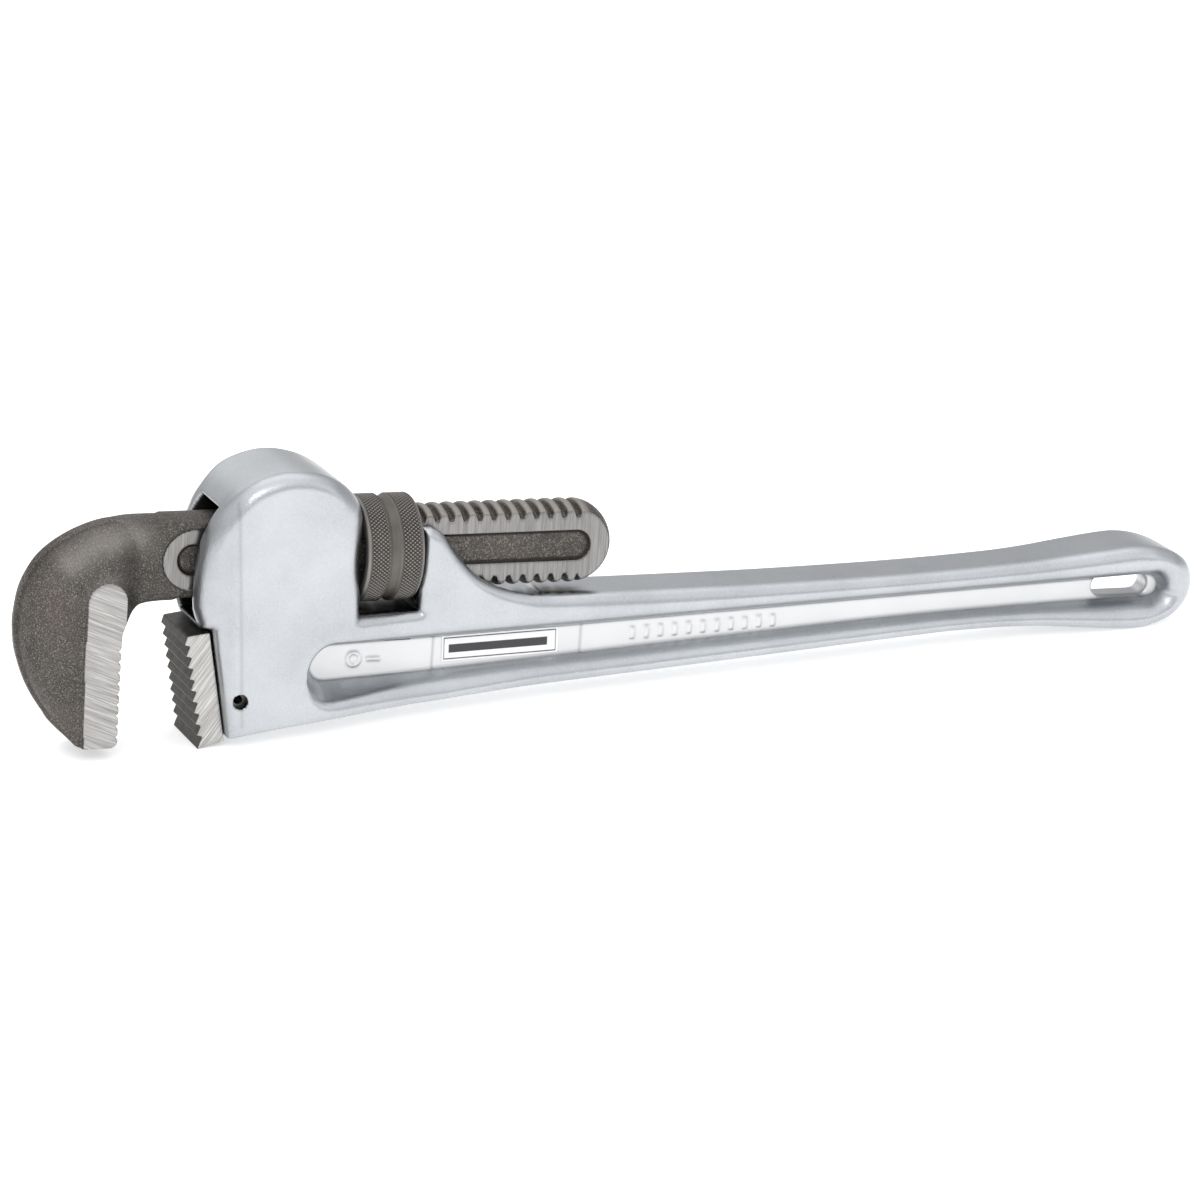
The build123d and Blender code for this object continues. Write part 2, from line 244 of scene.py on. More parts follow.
def make_mesh(name, points, faces, smooth=True):
    """A mesh from points and faces, where the faces may be lists or an array of quads."""
    mesh = bpy.data.meshes.new(name)
    points = np.asarray(points, np.float32)
    if isinstance(faces, np.ndarray):
        mesh.vertices.add(len(points))
        mesh.vertices.foreach_set("co", points.ravel())
        mesh.loops.add(faces.size)
        mesh.loops.foreach_set("vertex_index", faces.astype(np.int32).ravel())
        mesh.polygons.add(len(faces))
        mesh.polygons.foreach_set("loop_start", np.arange(0, faces.size, 4, dtype=np.int32))
        mesh.update(calc_edges=True)
    else:
        mesh.from_pydata(points.tolist(), [], faces)
    mesh.validate()
    mesh.polygons.foreach_set("use_smooth", [smooth] * len(mesh.polygons))
    obj = bpy.data.objects.new(name, mesh)
    bpy.context.scene.collection.objects.link(obj)
    return obj


# ---------------------------------------------------------------------------------------
# Materials
# ---------------------------------------------------------------------------------------
class Nodes:
    """A small helper to build a material's node tree."""

    def __init__(self, name):
        self.material = bpy.data.materials.new(name)
        self.material.use_nodes = True
        self.tree = self.material.node_tree
        self.tree.nodes.clear()
        self.shader = self.tree.nodes.new("ShaderNodeBsdfPrincipled")
        output = self.tree.nodes.new("ShaderNodeOutputMaterial")
        self.tree.links.new(self.shader.outputs[0], output.inputs[0])
        self.place = self.tree.nodes.new("ShaderNodeTexCoord").outputs["Object"]

    def link(self, source, target):
        self.tree.links.new(source, target)

    def scaled(self, scale, turn=(0, 0, 0)):
        """Object coordinates, turned and then scaled, for a stretched texture."""
        node = self.tree.nodes.new("ShaderNodeMapping")
        node.vector_type = "TEXTURE"
        node.inputs["Rotation"].default_value = turn
        node.inputs["Scale"].default_value = [1 / v for v in scale]
        self.link(self.place, node.inputs["Vector"])
        return node.outputs[0]

    def noise(self, scale, detail=3.0, rough=0.55, vector=None):
        node = self.tree.nodes.new("ShaderNodeTexNoise")
        node.inputs["Scale"].default_value = scale
        node.inputs["Detail"].default_value = detail
        node.inputs["Roughness"].default_value = rough
        self.link(vector or self.place, node.inputs["Vector"])
        return node.outputs["Fac"]

    def voronoi(self, scale):
        node = self.tree.nodes.new("ShaderNodeTexVoronoi")
        node.inputs["Scale"].default_value = scale
        self.link(self.place, node.inputs["Vector"])
        return node.outputs["Distance"]

    def ramp(self, value, stops):
        """stops is a list of (position, grey or colour)."""
        node = self.tree.nodes.new("ShaderNodeValToRGB")
        ramp = node.color_ramp
        for i, (position, colour) in enumerate(stops):
            element = ramp.elements[i] if i < 2 else ramp.elements.new(position)
            element.position = position
            colour = (colour,) * 3 if isinstance(colour, (int, float)) else colour
            element.color = (*colour, 1)
        self.link(value, node.inputs[0])
        return node.outputs[0]

    def mix(self, factor, a, b):
        node = self.tree.nodes.new("ShaderNodeMix")
        node.data_type = "RGBA"
        for socket, value in ((node.inputs[0], factor), (node.inputs[6], a), (node.inputs[7], b)):
            if isinstance(value, bpy.types.NodeSocket):
                self.link(value, socket)
            elif isinstance(value, tuple):
                socket.default_value = (*value, 1)
            else:
                socket.default_value = value
        return node.outputs[2]

    def math(self, operation, a, b):
        node = self.tree.nodes.new("ShaderNodeMath")
        node.operation = operation
        for socket, value in ((node.inputs[0], a), (node.inputs[1], b)):
            if isinstance(value, bpy.types.NodeSocket):
                self.link(value, socket)
            else:
                socket.default_value = value
        return node.outputs[0]

    def bump(self, height, strength, distance, under=None):
        node = self.tree.nodes.new("ShaderNodeBump")
        node.inputs["Strength"].default_value = strength
        node.inputs["Distance"].default_value = distance
        self.link(height, node.inputs["Height"])
        if under is not None:
            self.link(under, node.inputs["Normal"])
        return node.outputs[0]

    def painted(self, name):
        """A number for each vertex, stored on the mesh by paint()."""
        node = self.tree.nodes.new("ShaderNodeAttribute")
        node.attribute_name = name
        return node.outputs["Fac"]

    def finish(self, colour=None, rough=None, normal=None, metallic=1.0):
        self.shader.inputs["Metallic"].default_value = metallic
        if colour is not None:
            self.link(colour, self.shader.inputs["Base Color"])
        if isinstance(rough, bpy.types.NodeSocket):
            self.link(rough, self.shader.inputs["Roughness"])
        elif rough is not None:
            self.shader.inputs["Roughness"].default_value = rough
        if normal is not None:
            self.link(normal, self.shader.inputs["Normal"])
        return self.material


def cast_aluminium():
    """Bright blasted casting: fine grain, faint clouds, small pits, a painted highlight on the web panels,
    and painted shade in creases and holes.
    """
    n = Nodes("cast_aluminium")
    clouds = n.noise(38, 4, 0.6)
    grain = n.noise(1500, 2, 0.7)
    pits = n.ramp(n.voronoi(330), [(0.0, 1.0), (0.035, 0.0)])
    rare = n.ramp(n.noise(60, 1), [(0.60, 0.0), (0.66, 1.0)])
    pits = n.math("MULTIPLY", pits, rare)
    # painted highlight: the web panels' floor lighter and a little rougher
    web_highlight = n.painted("web_highlight")
    colour = n.ramp(clouds, [(0.3, (0.42, 0.44, 0.46)), (0.7, (0.51, 0.53, 0.55))])
    colour = n.mix(n.ramp(grain, [(0.35, 0.0), (0.75, 0.35)]), colour, (0.66, 0.67, 0.68))
    colour = n.mix(web_highlight, colour, (0.70, 0.705, 0.71))
    # painted shade in the creases, over the front bevel, round the mouth and along the web's edges
    colour = n.mix(n.painted("shade"), colour, (0.26, 0.27, 0.28))
    # painted shadow: near black inside the passage, window, pin hole and tang slot
    colour = n.mix(n.painted("hole_shadow"), colour, (0.035, 0.036, 0.038))
    colour = n.mix(pits, colour, (0.30, 0.30, 0.31))
    rough = n.math("ADD", n.ramp(clouds, [(0.3, 0.34), (0.7, 0.27)]), n.math("MULTIPLY", web_highlight, 0.12))
    normal = n.bump(grain, 0.30, 0.0002)
    normal = n.bump(n.noise(240, 3), 0.10, 0.0006, normal)
    normal = n.bump(pits, -0.6, 0.0003, normal)
    return n.finish(colour, rough, normal, metallic=1.0)


def forged_steel():
    """Blasted dark forging with a sparkling grain; ground areas, a painted highlight and painted shade in the
    pocket are painted on the mesh.
    """
    n = Nodes("forged_steel")
    ground = n.painted("ground")
    clouds = n.noise(45, 4, 0.65)
    speck = n.voronoi(1900)
    grain = n.noise(2100, 3, 0.75)
    dark = n.ramp(clouds, [(0.32, (0.060, 0.055, 0.050)), (0.55, (0.088, 0.079, 0.071)),
                           (0.78, (0.122, 0.095, 0.076))])
    # painted highlight on the neck's spine and over the toothed pad
    forging_highlight = n.painted("forging_highlight")
    dark = n.mix(n.math("MULTIPLY", forging_highlight, 0.55), dark, (0.36, 0.34, 0.315))
    dark = n.mix(n.ramp(grain, [(0.50, 0.0), (0.74, 0.85)]), dark, (0.40, 0.385, 0.365))
    dark = n.mix(n.ramp(speck, [(0.0, 0.85), (0.30, 0.0)]), dark, (0.020, 0.018, 0.017))
    # painted shade along the pocket's walls
    dark = n.mix(n.painted("cavity_shade"), dark, (0.020, 0.018, 0.016))
    dark = n.mix(n.painted("crest"), dark, (0.42, 0.39, 0.35))
    scratch = n.noise(1.0, 4, 0.65, n.scaled((70, 60, 2600), (0, math.radians(27), 0)))
    ground_colour = n.ramp(scratch, [(0.30, (0.24, 0.235, 0.225)), (0.5, (0.37, 0.36, 0.35)),
                                     (0.70, (0.58, 0.57, 0.555))])
    brush = n.noise(1.0, 3, 0.7, n.scaled((2300, 60, 70), (0, math.radians(4.18), 0)))
    brush_colour = n.ramp(brush, [(0.3, (0.17, 0.166, 0.16)), (0.7, (0.33, 0.325, 0.315))])
    flats = n.painted("flats")
    machined = n.mix(flats, ground_colour, brush_colour)
    colour = n.mix(ground, dark, machined)
    rough = n.math("ADD", n.math("MULTIPLY", ground, -0.12), 0.44)
    blasted = n.math("SUBTRACT", 1.0, ground)
    normal = n.bump(n.math("MULTIPLY", grain, blasted), 0.7, 0.0004)
    normal = n.bump(n.math("MULTIPLY", speck, blasted), 0.35, 0.0003, normal)
    return n.finish(colour, rough, normal, metallic=0.95)


def phosphate_steel():
    """Dark phosphate: worn lighter on the knurl's tips and along the rims, with painted shade in the knurl's
    valleys and the bore.
    """
    n = Nodes("phosphate_steel")
    worn = n.painted("worn")
    clouds = n.noise(110, 4, 0.6)
    dark = n.ramp(clouds, [(0.3, (0.070, 0.065, 0.058)), (0.7, (0.125, 0.115, 0.104))])
    colour = n.mix(worn, dark, (0.46, 0.44, 0.415))
    # painted shade in the knurl's valleys and inside the bore
    colour = n.mix(n.painted("cavity_shade"), colour, (0.014, 0.013, 0.012))
    rough = n.math("ADD", n.math("MULTIPLY", worn, -0.16), 0.55)
    normal = n.bump(n.noise(1500, 2), 0.25, 0.0002)
    return n.finish(colour, rough, normal, metallic=0.9)


def heel_steel():
    """Heel jaw: ground sides with slanting scratches, dark toothed face and back."""
    n = Nodes("heel_steel")
    ground = n.painted("ground")
    scratch = n.noise(1.0, 4, 0.65, n.scaled((70, 60, 2600), (0, math.radians(-50), 0)))
    light = n.ramp(scratch, [(0.30, (0.28, 0.275, 0.265)), (0.5, (0.45, 0.44, 0.425)),
                             (0.70, (0.70, 0.69, 0.67))])
    dark = n.ramp(n.noise(260, 4, 0.7), [(0.3, (0.055, 0.052, 0.047)), (0.7, (0.115, 0.107, 0.096))])
    colour = n.mix(ground, dark, light)
    rough = n.math("ADD", n.math("MULTIPLY", ground, -0.16), 0.50)
    normal = n.bump(scratch, 0.15, 0.0002)
    return n.finish(colour, rough, normal, metallic=0.9)


def spring_steel():
    n = Nodes("spring_steel")
    colour = n.ramp(n.noise(300, 3), [(0.3, (0.12, 0.115, 0.11)), (0.7, (0.26, 0.25, 0.24))])
    return n.finish(colour, 0.38, n.bump(n.noise(1200, 2), 0.1, 0.0001), metallic=1.0)


def label_film():
    """Printed film: white, with a thin dark border and one plain bar."""
    n = Nodes("label_film")
    colour = n.ramp(n.noise(500, 3), [(0.3, (0.90, 0.905, 0.91)), (0.7, (0.96, 0.962, 0.965))])
    colour = n.mix(n.painted("ink"), colour, (0.035, 0.035, 0.037))
    return n.finish(colour, 0.32, n.bump(n.noise(700, 2), 0.05, 0.0001), metallic=0.0)


def ring_faces(rings, around, closed=False):
    """Quads that join each ring of points to the next, and with closed the last to the first."""
    faces = []
    for i in range(rings if closed else rings - 1):
        a, b = i * around, (i + 1) % rings * around
        faces += [(a + k, a + (k + 1) % around, b + (k + 1) % around, b + k) for k in range(around)]
    return faces


def ring_ends(rings, around):
    """The two end faces of a run of rings."""
    return [tuple(range(around)), tuple((rings - 1) * around + k for k in range(around))]


def paint(obj, name, values):
    """Stores one number per vertex for the material to read."""
    layer = obj.data.attributes.new(name, "FLOAT", "POINT")
    layer.data.foreach_set("value", np.asarray(values, np.float32))


def dress(obj, material):
    obj.data.materials.clear()
    obj.data.materials.append(material)


def shank_points(obj):
    """A mesh's vertices back in shank millimetres."""
    flat = np.empty(len(obj.data.vertices) * 3)
    obj.data.vertices.foreach_get("co", flat)
    p = (flat.reshape(-1, 3) - NUT_CENTRE) / MM
    return np.c_[p @ ALONG, p @ ACROSS, p @ UPRIGHT]


# ---------------------------------------------------------------------------------------
# Handle: one aluminium casting
# ---------------------------------------------------------------------------------------
def casting_outline():
    """The casting from the side, clockwise from the heel jaw's seat."""
    loop = smooth_curve([(-62.3, LIP), (-64.7, -14.0), (-64.9, -6.0), (-63.9, 2.0), (-61.9, 9.5),
                         (-57.4, 17.6), (-49.0, 25.9), (-37.5, 29.7), (-26.5, 28.6), (-17.5, 24.3),
                         (-12.0, 18.6), (-WINDOW_HALF, 13.5)])
    window = [(-WINDOW_HALF, WINDOW_FLOOR), (WINDOW_HALF, WINDOW_FLOOR), (WINDOW_HALF, 8.9)]
    hump = smooth_curve([(13.4, 8.9), (17.5, 6.4), (24.0, -1.9), (32.5, -9.4), (45.0, -13.9), (62.0, -15.2),
                         (116.0, -15.2), (152.0, -14.7), (190.0, -13.6), (226.0, -11.6), (250.0, -9.0),
                         (END_X, END_Z + END_HALF_HEIGHT)], end=(18, 0))
    end = arc((END_X, END_Z), (END_LENGTH, END_HALF_HEIGHT), 90, -90, 40)
    belly = smooth_curve([(END_X, END_Z - END_HALF_HEIGHT), (250.0, -35.3), (232.0, -34.5), (208.0, -34.9),
                          (183.0, -36.4), (110.0, -42.0), (20.0, -48.8), (-26.0, -52.7), (-52.7, -56.4)],
                         start=(-16, 0))
    seat = [(-52.7, -56.4), (-58.75, LIP)]
    return np.vstack([loop, window, hump, end[1:], belly[1:], seat[1:]])


# half width of the casting along its length
PLAN = np.array([(-70.0, 8.0), (-67.0, 9.6), (-64.0, 12.9), (-58.5, 16.6), (-51.0, HEAD_HALF),
                 (-31.0, HEAD_HALF), (-22.0, 18.2), (-12.0, 16.9), (0.0, 14.9), (10.0, 13.6), (26.0, 12.7),
                 (50.0, BAR_HALF), (222.0, BAR_HALF), (238.0, 12.6), (256.0, 13.7), (274.0, 14.0),
                 (284.0, 12.6), (290.0, 10.3), (296.0, 6.0)])
WEB_TOP = [(-18.5, -30.6), (20.0, -29.4), (60.0, -27.9), (150.0, -24.1), (220.0, -21.2), (276.0, -18.9)]
WEB_BOTTOM = [(276.0, -26.2), (220.0, -27.8), (170.0, -30.2), (74.0, -36.5), (20.0, -40.1), (-17.5, -42.1)]


def web_panel():
    left = arc((-18.0, -36.35), (5.2, 5.8), 262, 98, 16)
    right = arc((276.0, -22.55), (4.0, 3.65), 88, -88, 16)
    return np.vstack([smooth_curve(WEB_TOP), right[1:-1], smooth_curve(WEB_BOTTOM), left[1:-1]])


def raised_marks(x, z):
    """Plain raised bars and a ring, where a casting carries its marks; heights from 0 to 1."""
    count, first, gap, half_wide, half_tall = 11, 88.0, 5.0, 0.95, 2.0
    rise = math.tan(math.radians(2.0)) * 1.12
    mark = np.zeros(np.broadcast(x, z).shape)
    for i in range(count):
        cx = first + i * gap
        cz = -31.2 + rise * (cx - first)
        d = box_distance(x, z, cx - half_wide, cx + half_wide, cz - half_tall, cz + half_tall)
        mark = np.maximum(mark, step_between(-d, -0.3, 0.3))
    ring = np.abs(np.hypot(x + 8.0, z + 35.7) - 2.1) - 0.55
    bar = box_distance(x, z, -3.6, 1.0, -36.5, -35.3)
    mark = np.maximum(mark, step_between(-np.minimum(ring, bar), -0.35, 0.35))
    return mark


def build_casting():
    f = Field((-67.5, -20.5, -60.0), (295.5, 20.5, 32.0), 0.5)
    x2, z2 = f.x2, f.z2
    side = outline_distance(x2, z2, casting_outline())
    xs = np.arange(-70, 298, 0.5)
    plan = blur(np.interp(xs, PLAN[:, 0], PLAN[:, 1]), 9)
    half = np.interp(x2, xs, plan) + 0 * z2
    # edge rounding: a base, and more round the head's loop, along the bar and beside the window
    radius = 2.9 + 2.3 * step_between(-x2, -30, 12) * step_between(z2, -40, -5)
    radius = radius + 1.9 * step_between(x2, 14, 60)
    radius = radius + 1.8 * step_between(x2, -24, -14) * step_between(-x2, 0, 8) * step_between(z2, -14, -4)
    y = np.abs(f.y)
    body = both(f.flat(side), (y - f.flat(half)) * 0.97, f.flat(radius))
    # web recesses
    panel = outline_distance(x2, z2, web_panel())
    level = WEB_HALF + 0.5 * raised_marks(x2, z2)
    level = level + 0.28 * step_between(np.abs(x2 - WEB_STEP_X) - WEB_STEP_HALF, -0.4, 0.4)
    recess = soft_max(f.flat(panel) * math.cos(WEB_DRAFT) - (y - WEB_HALF) * math.sin(WEB_DRAFT),
                      f.flat(level) - y, 0.8)
    # the lower flange's inner edge is rounder than the upper one's
    lower = step_between(-36.3 + 0.047 * (x2 + 18.0) - z2, 0.0, 3.0)
    body = soft_max(body, -recess, f.flat((1.6 + 2.6 * step_between(x2, -20, 40)) * (1 + 0.7 * lower)))
    # slot to hang it by
    hang = slot_distance(x2, z2, *HANG_SLOT)
    body = soft_max(body, -f.flat(hang) + 0 * y, 1.4)
    # passage for the shank, channel behind the nut, slot for the heel jaw's tang, pin hole, spring pocket
    tall = np.abs(z2 - (PASSAGE_ROOF + PASSAGE_FLOOR) / 2) - (PASSAGE_ROOF - PASSAGE_FLOOR) / 2
    passage = np.maximum(f.flat(np.maximum(x2 + WINDOW_HALF - 1.5, tall)), y - PASSAGE_HALF)
    long = np.abs(x2 - (WINDOW_HALF + CHANNEL_RIGHT) / 2) - (CHANNEL_RIGHT - WINDOW_HALF) / 2 - 1.0
    channel = np.maximum(f.flat(np.maximum(CHANNEL_FLOOR - z2, long)), y - PASSAGE_HALF)
    tang = np.maximum(f.flat(box_distance(x2, z2, -90, PIN_X + 8.2, -51.7, -24.8)), y - 6.2)
    pin = f.flat(np.hypot(x2 - PIN_X, z2 - PIN_Z) - PIN_R) + 0 * y
    pocket = np.maximum(np.hypot(f.x - COIL_X, f.y) - 4.0, np.abs(f.z + 22.6) - 3.1)
    for cut, width in ((passage, 1.2), (channel, 1.0), (tang, 0.5), (pin, 0.5), (pocket, 0.3)):
        body = soft_max(body, -cut, width)
    obj = f.mesh("handle_casting", body)
    p = shank_points(obj)
    x, y, z = p[:, 0], np.abs(p[:, 1]), p[:, 2]
    from_web = outline_distance(x, z, web_panel())
    # painted highlight: the web panels lighter
    paint(obj, "web_highlight", (y < WEB_HALF + 0.9) & (from_web < 0.3))
    # painted shade along the head's crease, over its front bevel, round the mouth, where the web meets its
    # walls and at its steps
    crease = np.exp(-((x + 51.0 + 0.06 * (z + 20)) / 0.55) ** 2) * (z > -52) * (y > 16)
    front = 0.16 * step_between(-x, 51.0, 54.5) * (y > 8)
    mouth = np.exp(-(x + 66.5) ** 2 / 3.0) * 0.5
    web_edge = np.exp(-(from_web / 0.55) ** 2) * 0.45 * (y < WEB_HALF + 1.4)
    level_line = np.exp(-((np.abs(x - WEB_STEP_X) - WEB_STEP_HALF) / 0.45) ** 2) * 0.5
    level_line = level_line * (y < WEB_HALF + 0.9) * (z < -26)
    paint(obj, "shade", np.clip(0.35 * crease + front + mouth + web_edge + level_line, 0, 1))
    # painted shadow inside the passage, the window, the pin hole and the tang's slot
    inside = (y < PASSAGE_HALF + 0.1) * (z > -30) * (z < PASSAGE_ROOF + 0.2)
    inside = inside * (x < WINDOW_HALF + 1.0) * (x > -64.5)
    window = (np.abs(x) < WINDOW_HALF + 0.12) * (z > WINDOW_FLOOR - 0.3) * (z < 16)
    window = window * step_between(-y, -14.4, -12.6)
    holes = np.hypot(x - PIN_X, z - PIN_Z) < PIN_R + 0.15
    holes |= (y < 6.4) * (x > -58.0) * (x < PIN_X + 8.6) * (z < -24.5) * (z > -52.0)
    paint(obj, "hole_shadow", np.clip(0.8 * inside + 0.95 * window + 1.0 * holes, 0, 1))
    dress(obj, MATERIALS["casting"])
    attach(obj, "handle")
    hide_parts("handle")


# ---------------------------------------------------------------------------------------
# Hook jaw: forged jaw, neck and threaded shank in one piece
# ---------------------------------------------------------------------------------------
RIM = [(-76, 13.3), (-84.5, 13.2), (-92.4, 12.4), (-99.2, 10.3), (-105.1, 7.4), (-110.4, 3.6), (-114.3, -0.9),
       (-117.8, -8.0), (-119.3, -16.2), (-119.4, -22.0), (-118.2, -30.0), (-114.1, -40.9), (-107.2, -51.4),
       (-100.4, -58.2)]


def jaw_outline():
    rim = smooth_curve(RIM, 10)
    tip = [(-98.4, HOOK_TIP), (-92.0, HOOK_TIP)]
    corner = arc((HOOK_FACE - 2.3, HOOK_TIP + 2.3), (2.3, 2.3), -90, 0, 10)
    face = smooth_curve([(HOOK_FACE, -24.5), (-87.3, -21.0), (-85.6, -17.4), (-82.6, -14.9), (-78.5, -13.6),
                         (-74.0, -13.2)], 8)
    neck = [(-60.0, -13.2), (-60.0, 13.3)]
    return np.vstack([rim, tip, corner, face, neck])


def thread_radius(x, angle):
    """The shank's radius at a place along it; angle is from +z toward +y."""
    turn = (x - PHASE + PITCH * angle / (2 * math.pi)) / PITCH
    off = np.abs(turn - np.round(turn)) * PITCH            # distance from a groove's centre
    cut = THREAD_DEPTH * (1 - step_between(off, 0.45, 1.42))
    crown = 0.28 * (1 - step_between(off, 1.1, PITCH / 2))
    inside = step_between(x, THREAD_LEFT - 1, THREAD_LEFT + 1)
    inside = inside * step_between(-x, -THREAD_RIGHT - 1, -THREAD_RIGHT + 1)
    return THREAD_R - (cut + crown) * inside


def build_hook_jaw():
    f = Field((-120.6, -14.2, -60.2), (80.0, 14.2, 15.2), 0.42)
    x2, z2 = f.x2, f.z2
    y = np.abs(f.y)
    # jaw: a domed forging inside a thin trimmed rim
    rim = smooth_curve(RIM + [(-104.0, -62.0)], 10)
    top = np.vstack([[(-40.0, 13.3)], rim])
    from_rim = line_distance(x2, z2, top)
    side = outline_distance(x2, z2, jaw_outline())
    dome = np.sqrt(np.clip(1 - (1 - np.clip((from_rim - 1.0) / 15.0, 0, 1)) ** 2, 0, 1))
    neck = step_between(x2, -90.0, -80.0)
    full = 11.4 * (1 - neck) + 7.55 * neck
    thick = 1.5 + (full - 1.5) * np.maximum(dome, neck * np.clip(from_rim / 3.0, 0, 1) ** 0.6)
    jaw = both(f.flat(side), (y - f.flat(thick)) * 0.8, f.flat(0.5 + 1.6 * step_between(from_rim, 8.0, 12.0)))
    # ground pad down the toothed face
    pad_outline = np.vstack([arc((-92.6, -11.3), (6.1, 6.1), 180, 0, 18),
                             [(-86.5, -24.0), (-87.2, HOOK_TIP - 3), (-98.4, HOOK_TIP - 3), (-99.1, -30.0)]])
    pad = outline_distance(x2, z2, pad_outline)
    wall = soft_max(f.flat(pad) - (JAW_HALF - y) * 0.75, y - JAW_HALF, 0.5)
    wall = soft_max(wall, f.flat(side) + 0 * y, 0.4)
    jaw = soft_min(jaw, wall, 0.9)
    # teeth across the face
    teeth = np.full(np.broadcast(x2, z2).shape, 1e3)
    for i in range(9):
        notch = HOOK_TIP + TOOTH_PITCH * (i + 1)
        v = (np.abs(z2 - notch) * 0.80 - (x2 - (HOOK_FACE - 0.95)) * 0.60)
        teeth = np.minimum(teeth, v)
    jaw = soft_max(jaw, -f.flat(np.maximum(teeth, -(x2 + 90.0))), 0.45)
    # shank: round bar with a rope-like thread, cut by two flats
    angle = np.arctan2(f.y, f.z)
    from_axis = np.hypot(f.y, f.z)
    end = np.maximum(f.x - (SHANK_END - THREAD_R), 0)
    bar = np.hypot(from_axis, end) - thread_radius(f.x, angle)
    bar = both(bar * 0.9, y - SHANK_HALF + 0 * f.x, 0.55)
    bar = np.maximum(bar, -(f.x + 73.0))
    body = soft_min(jaw, bar, 0.25)
    body = np.where(f.x > -62.0, bar, np.where(f.x < -75.0, jaw, body))
    # machined flats, cut a little below the forged neck, and the long pocket in each
    flats = slot_distance(x2, z2, *FLAT_SLOT)
    cut = np.maximum(f.flat(flats), SHANK_HALF - y)
    body = soft_max(body, -np.where(f.x < -60, cut, 10.0), 0.35)
    pocket = slot_distance(x2, z2, *POCKET_SLOT)
    sunk = soft_max(f.flat(pocket) - (y - SHANK_HALF + POCKET_DEPTH) * 0.3,
                    SHANK_HALF - POCKET_DEPTH - y, 0.35)
    body = soft_max(body, -sunk, 0.4)
    obj = f.mesh("hook_jaw_forging", body)
    p = shank_points(obj)
    ax, ay, az = p[:, 0], np.abs(p[:, 1]), p[:, 2]
    on_pad = (ay > JAW_HALF - 0.22) & (ax < -80)
    on_flat = (ay > SHANK_HALF - 0.16) & (ay < SHANK_HALF + 0.12) & (ax > -74.4)
    on_flat &= slot_distance(ax, az, *POCKET_SLOT) > 0.1
    on_flat &= slot_distance(ax, az, *FLAT_SLOT) < np.where(ax < -60, 0.0, 50.0)
    paint(obj, "ground", on_pad | on_flat)
    paint(obj, "flats", on_flat)
    # painted highlight along the neck's spine and over the toothed pad
    spine = np.array([(-104.0, 1.0), (-95.0, 7.0), (-84.0, 8.5), (-74.0, 8.5)])
    on_spine = np.exp(-(line_distance(ax, az, spine) / 4.0) ** 2) * step_between(-ax, 74, 84)
    over_pad = np.exp(-((ax + 92.0) / 5.0) ** 2 - ((az + 8.0) / 4.5) ** 2)
    paint(obj, "forging_highlight", 0.8 * on_spine + 0.8 * over_pad)
    # painted shade on the pocket floor beside its walls
    from_wall = np.abs(slot_distance(ax, az, *POCKET_SLOT) + 0.3)
    cavity_shade = np.where(ax > -74, 0.85 * (1 - step_between(from_wall, 0.15, 0.75)), 0)
    paint(obj, "cavity_shade", cavity_shade * (ay < SHANK_HALF - 0.1))
    radius = np.hypot(p[:, 1], p[:, 2])
    threaded = (ax > THREAD_LEFT) & (ax < THREAD_RIGHT + 4)
    crest = np.where(threaded, 0.75 * step_between(radius, THREAD_R - 1.0, THREAD_R - 0.1), 0)
    paint(obj, "crest", crest * ~on_flat)
    dress(obj, MATERIALS["forged_steel"])
    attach(obj, "hook")
    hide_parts("hook_jaw")


# ---------------------------------------------------------------------------------------
# Adjusting nut: two diamond-knurled bands, a smooth groove between them, a threaded bore
# ---------------------------------------------------------------------------------------
def nut_section():
    """(x, radius, knurl weight, wear) over the outside of the nut's section, from its left bore edge."""
    left = [(-NUT_HALF + 0.35, NUT_BORE_R, 0, 0.3), (-NUT_HALF, 14.45, 0, 0.4), (-NUT_HALF, 16.3, 0, 0.25),
            (-NUT_HALF + 0.35, 16.85, 0, 0.6), (-NUT_HALF + 0.9, NUT_R - 0.12, 0, 0.3)]
    groove = [(-1.75, 16.75, 0, 0.3), (-1.45, 16.42, 0, 0.1), (-0.7, 16.34, 0, 0.12),
              (0.7, 16.34, 0, 0.12), (1.45, 16.42, 0, 0.1), (1.75, 16.75, 0, 0.3)]
    rows = list(left)
    for low, high in ((-NUT_HALF + 1.1, -2.2), (2.2, NUT_HALF - 1.1)):
        if low > 0:
            rows += groove
        count = 26
        for i in range(count + 1):
            t = i / count
            edge = min(t, 1 - t) * count
            rows.append((low + (high - low) * t, NUT_R - 0.02, min(edge / 1.5, 1), 0))
    return rows + [(-x, *rest) for x, *rest in reversed(left)]


